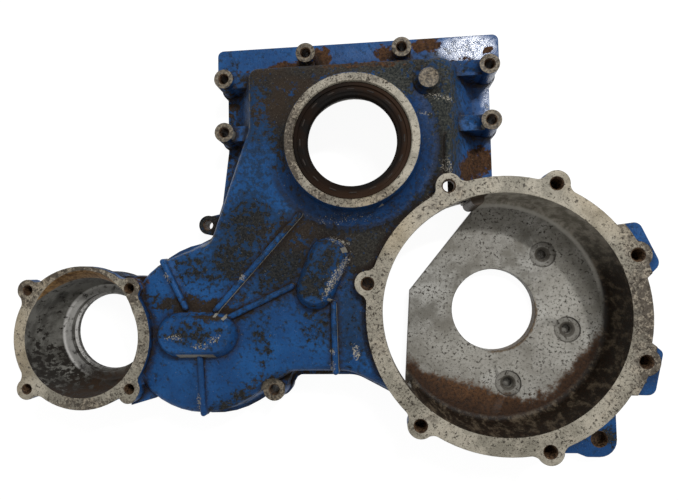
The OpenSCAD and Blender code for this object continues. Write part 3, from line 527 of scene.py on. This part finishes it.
# The turned shoulder and the lip below it are bright: bare turned metal, and a painted highlight that fades
# out towards the bore's low side.
seat = bore.calc("MULTIPLY", bore.step(up, 0.0145, 0.0125), bore.step(up, 0.0105, 0.0117))
seat = bore.calc("MULTIPLY", seat, bore.step(bore.from_axis(tube_x, tube_y), 0.0455, 0.0490, 0.45, 1.0))
lip = bore.calc("MULTIPLY", bore.step(up, 0.0062, 0.0052), bore.step(up, 0.0035, 0.0047))
shoulder_bare_and_highlight = bore.calc("MULTIPLY", bore.calc("MAXIMUM", seat, lip), bore.step(streak, 0.62, 0.5, 0.2, 0.95))
shoulder_bare_and_highlight = bore.calc("MULTIPLY", shoulder_bare_and_highlight, bore.step(bore.along(0.40, -0.92, at=turn), 0.034, 0.004, 0.05, 1.0))
soot = bore.mix(shoulder_bare_and_highlight, soot, (0.56, 0.55, 0.53))
mouth = bore.step(bore.from_axis(tube_x, tube_y), 0.0556, 0.0560)
rusty = bore.mix(bore.step(streak, 0.42, 0.62), (0.30, 0.175, 0.066), (0.085, 0.043, 0.018))
soot = bore.mix(mouth, soot, rusty)
bore_finish = bore.done(soot, bore.step(streak, 0.4, 0.7, 0.42, 0.66), streak, 0.0003, 0.0, 0.14)

# Drilled holes and the floor's cut edge: dark brown with old oil and thread dirt.
drilled = Finish("drilled_hole")
fine = drilled.noise(500.0, 5.0, 0.6)
dirt = drilled.mix(drilled.step(fine, 0.4, 0.64), (0.019, 0.0105, 0.006), (0.10, 0.058, 0.030))
hole_finish = drilled.done(dirt, drilled.step(fine, 0.4, 0.7, 0.45, 0.7), fine, 0.0004, 0.05, 0.25)

# Back and hollow: bare sand-cast aluminium, oily grey, and the milled gasket face.
inside = Finish("bare_casting")
sand = inside.noise(520.0, 6.0, 0.65)
cloud = inside.noise(24.0, 5.0, 0.6)
raw = inside.mix(inside.step(cloud, 0.35, 0.65), (0.13, 0.12, 0.1), (0.25, 0.24, 0.21))
raw = inside.mix(inside.step(sand, 0.58, 0.7, 0.0, 0.8), raw, (0.05, 0.04, 0.03))
# Painted shade: the corners of the back and hollow are darkened.
raw = inside.mix(inside.step(inside.corners(0.012), 0.75, 0.3, 0.0, 0.8), raw, (0.03, 0.022, 0.016))
inside_finish = inside.done(raw, inside.step(sand, 0.4, 0.7, 0.5, 0.7), sand, 0.0004, 0.1, 0.3)

# Each hole's wall is dark out to a little past the hole's own radius.
plate_mid, bolt_wall, lug_wall, ear_wall = 0.0016, 0.0062, 0.0068, 0.0085
holes = [(-0.0785, -0.2235, bolt_wall), (-0.149, -0.066, bolt_wall), (0.2195, -0.275, ear_wall)]
for hand in (-1, 1):
    holes.append((plate_mid + hand * 0.0454, 0.093, bolt_wall))
    for y in (0.072, 0.020):
        holes.append((plate_mid + hand * 0.1253, y, bolt_wall))
    for y in (-0.046, 0.046):
        holes.append((tube_x - 0.0029 + hand * 0.050, tube_y - 0.001 + y, bolt_wall))
for angle in lug_bolts:
    holes.append((*round_ring(lug_bolt_circle, angle), lug_wall))

walls = BVHTree.FromPolygons([corner.co for corner in casting.data.vertices],
                             [side.vertices for side in casting.data.polygons])
bearings = [math.radians(22.5 * point + 3) for point in range(16)]
compass = [Vector((math.cos(bearing), math.sin(bearing), 0.0)) for bearing in bearings]


def walled_in(side):
    """True where the casting stands all round, as in the hollow behind the gear case."""
    start = side.center + side.normal * 0.0005
    return all(walls.ray_cast(start, way)[0] is not None for way in compass)


coats = [paint_finish, face_finish, chamber_finish, bore_finish, inside_finish, hole_finish]
for coat in coats:
    casting.data.materials.append(coat)
# A face of the casting gets its finish from where it lies and how it leans.
machined_heights = (0.070, 0.060, 0.042)
blind_ends = (0.002, 0.0025, 0.037, 0.038, 0.0485)
gasket_face, ring_face, floor_top, seal_seat = 0.0003, 0.0605, 0.0105, 0.040
chamber_wall, pilot_edge, cut_side = 0.1058, 0.045, 0.105
tube_wall, tube_mouth, tube_face, hub_bore = 0.057, 0.0640, 0.0598, 0.0535
for side in casting.data.polygons:
    x, y, z = side.center
    up = side.normal.z
    from_ring = math.hypot(x - ring_x, y - ring_y)
    from_tube = math.hypot(x - tube_x, y - tube_y)
    to_tube = (x - tube_x) * side.normal.x + (y - tube_y) * side.normal.y < 0
    in_hole = any(math.hypot(x - a, y - b) < reach for a, b, reach in holes)
    coat = paint_finish
    if in_hole and z > gasket_face and (up < 0.99 or any(abs(z - end) < 0.0003 for end in blind_ends)):
        coat = hole_finish
    elif z < gasket_face or up < -0.6:
        coat = inside_finish
    elif up > 0.999 and any(abs(z - height) < 0.0002 for height in machined_heights):
        coat = face_finish
    elif from_tube < tube_mouth and z < tube_face and up > -0.3 and (from_tube < tube_wall or to_tube):
        coat = bore_finish
    elif pilot_edge < from_ring < chamber_wall and x < cut_side and abs(up) < 0.3 and z < floor_top:
        coat = hole_finish
    elif from_ring < chamber_wall and z < ring_face:
        coat = chamber_finish
    elif math.hypot(x, y) < hub_bore and z > seal_seat:
        coat = face_finish
    elif up < 0.5 and walled_in(side):
        coat = inside_finish
    side.material_index = coats.index(coat)
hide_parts("cover_casting")
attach(casting, "root")

# Crank seal: a moulded rubber ring pressed into the hub from the front, its lip on the shaft.
# It is brown-black and oily, with a circle of small raised ribs moulded in its front.
rubber = Finish("seal_rubber")
fine = rubber.noise(600.0, 5.0, 0.6)
cloud = rubber.noise(55.0, 4.0, 0.6)
black = rubber.mix(rubber.step(cloud, 0.38, 0.66), (0.0025, 0.0019, 0.0015), (0.010, 0.0055, 0.0033))
band = rubber.calc("MULTIPLY", rubber.step(rubber.from_axis(0.0, 0.0), 0.0435, 0.0480),
                   rubber.step(rubber.along(1.0, -0.35), -0.05, 0.02, 0.0, 0.9))
black = rubber.mix(band, black, (0.026, 0.0135, 0.0075))
black = rubber.mix(rubber.step(fine, 0.62, 0.72, 0.0, 0.5), black, (0.03, 0.024, 0.019))
rubber_finish = rubber.done(black, rubber.step(cloud, 0.3, 0.7, 0.55, 0.8), fine, 0.0003, 0.0, 0.07)
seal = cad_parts["crank_seal"]
seal.data.materials.clear()
seal.data.materials.append(rubber_finish)


def ring_of(name, finish, build, inputs):
    """A plain mesh of equal parts set round the shaft axis; build adds the part's nodes to the tree."""
    tree = bpy.data.node_groups.new(name, "GeometryNodeTree")
    tree.interface.new_socket("Geometry", in_out="INPUT", socket_type="NodeSocketGeometry")
    tree.interface.new_socket("Geometry", in_out="OUTPUT", socket_type="NodeSocketGeometry")
    names = {}
    for label, value in inputs.items():
        kind = "NodeSocketInt" if isinstance(value, int) else "NodeSocketFloat"
        names[label] = tree.interface.new_socket(label, in_out="INPUT", socket_type=kind).identifier
    start, end = tree.nodes.new("NodeGroupInput"), tree.nodes.new("NodeGroupOutput")
    circle = tree.nodes.new("GeometryNodeMeshCircle")
    tree.links.new(start.outputs["Count"], circle.inputs["Vertices"])
    tree.links.new(start.outputs["Radius"], circle.inputs["Radius"])
    place = tree.nodes.new("GeometryNodeInputPosition")
    facing = tree.nodes.new("FunctionNodeAlignRotationToVector")
    facing.axis = "X"
    facing.pivot_axis = "Z"
    tree.links.new(place.outputs[0], facing.inputs["Vector"])
    copies = tree.nodes.new("GeometryNodeInstanceOnPoints")
    tree.links.new(circle.outputs[0], copies.inputs["Points"])
    tree.links.new(build(tree, start), copies.inputs["Instance"])
    tree.links.new(facing.outputs[0], copies.inputs["Rotation"])
    lift = tree.nodes.new("ShaderNodeCombineXYZ")
    tree.links.new(start.outputs["Height"], lift.inputs["Z"])
    moved = tree.nodes.new("GeometryNodeTransform")
    tree.links.new(copies.outputs[0], moved.inputs["Geometry"])
    tree.links.new(lift.outputs[0], moved.inputs["Translation"])
    real = tree.nodes.new("GeometryNodeRealizeInstances")
    tree.links.new(moved.outputs[0], real.inputs[0])
    coat = tree.nodes.new("GeometryNodeSetMaterial")
    coat.inputs["Material"].default_value = finish
    tree.links.new(real.outputs[0], coat.inputs["Geometry"])
    tree.links.new(coat.outputs[0], end.inputs[0])
    maker = bpy.data.objects.new(name + "_maker", bpy.data.meshes.new(name + "_maker"))
    scene.collection.objects.link(maker)
    work = maker.modifiers.new("copies", "NODES")
    work.node_group = tree
    for label, value in inputs.items():
        work[names[label]] = value
    shape = bpy.data.meshes.new_from_object(maker.evaluated_get(bpy.context.evaluated_depsgraph_get()))
    bpy.data.objects.remove(maker)
    shape.name = name
    shape.shade_smooth()
    piece = bpy.data.objects.new(name, shape)
    scene.collection.objects.link(piece)
    return piece


def moulded_rib(tree, start):
    block = tree.nodes.new("GeometryNodeMeshCube")
    size = tree.nodes.new("ShaderNodeCombineXYZ")
    tree.links.new(start.outputs["Width"], size.inputs["X"])
    tree.links.new(start.outputs["Length"], size.inputs["Y"])
    tree.links.new(start.outputs["Rise"], size.inputs["Z"])
    tree.links.new(size.outputs[0], block.inputs["Size"])
    block.inputs["Vertices Y"].default_value = 4
    smooth = tree.nodes.new("GeometryNodeSubdivisionSurface")
    smooth.inputs["Level"].default_value = 2
    tree.links.new(block.outputs[0], smooth.inputs[0])
    return smooth.outputs[0]


mark = Finish("seal_rib_rubber")
fine = mark.noise(900.0, 4.0, 0.6)
mark_finish = mark.done(mark.mix(mark.step(fine, 0.4, 0.65), (0.007, 0.0045, 0.0032), (0.028, 0.019, 0.0135)),
                        mark.step(fine, 0.3, 0.7, 0.5, 0.7), fine, 0.0002, 0.0, 0.2)
seal_ribs = ring_of("seal_ribs", mark_finish, moulded_rib,
                    {"Count": 16, "Radius": 0.0464, "Height": 0.0666, "Width": 0.0016, "Length": 0.0076,
                     "Rise": 0.0010})
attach(seal_ribs, "root")

# Garter spring: a close-wound coil of drawn steel wire, joined end to end into a ring.
# It lies in the groove behind the seal's lip and presses the lip onto the shaft.
steel = Finish("spring_wire")
fine = steel.noise(900.0, 4.0, 0.6)
wire = steel.mix(steel.step(fine, 0.4, 0.7), (0.30, 0.29, 0.27), (0.14, 0.12, 0.10))
steel_finish = steel.done(wire, steel.step(fine, 0.4, 0.7, 0.3, 0.5), fine, 0.0001, 0.9)


def wire_turn(tree, start):
    loop = tree.nodes.new("GeometryNodeCurvePrimitiveCircle")
    loop.inputs["Resolution"].default_value = 16
    tree.links.new(start.outputs["Coil"], loop.inputs["Radius"])
    section = tree.nodes.new("GeometryNodeCurvePrimitiveCircle")
    section.inputs["Resolution"].default_value = 6
    tree.links.new(start.outputs["Wire"], section.inputs["Radius"])
    tube = tree.nodes.new("GeometryNodeCurveToMesh")
    tree.links.new(loop.outputs[0], tube.inputs["Curve"])
    tree.links.new(section.outputs[0], tube.inputs["Profile Curve"])
    upright = tree.nodes.new("GeometryNodeTransform")
    upright.inputs["Rotation"].default_value = (math.radians(84), 0.0, 0.0)
    tree.links.new(tube.outputs[0], upright.inputs["Geometry"])
    return upright.outputs[0]


spring = ring_of("garter_spring_coil", steel_finish, wire_turn,
                 {"Count": 520, "Radius": 0.0448, "Height": 0.0582, "Coil": 0.00090, "Wire": 0.00026})
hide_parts("garter_spring")
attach(spring, "root")
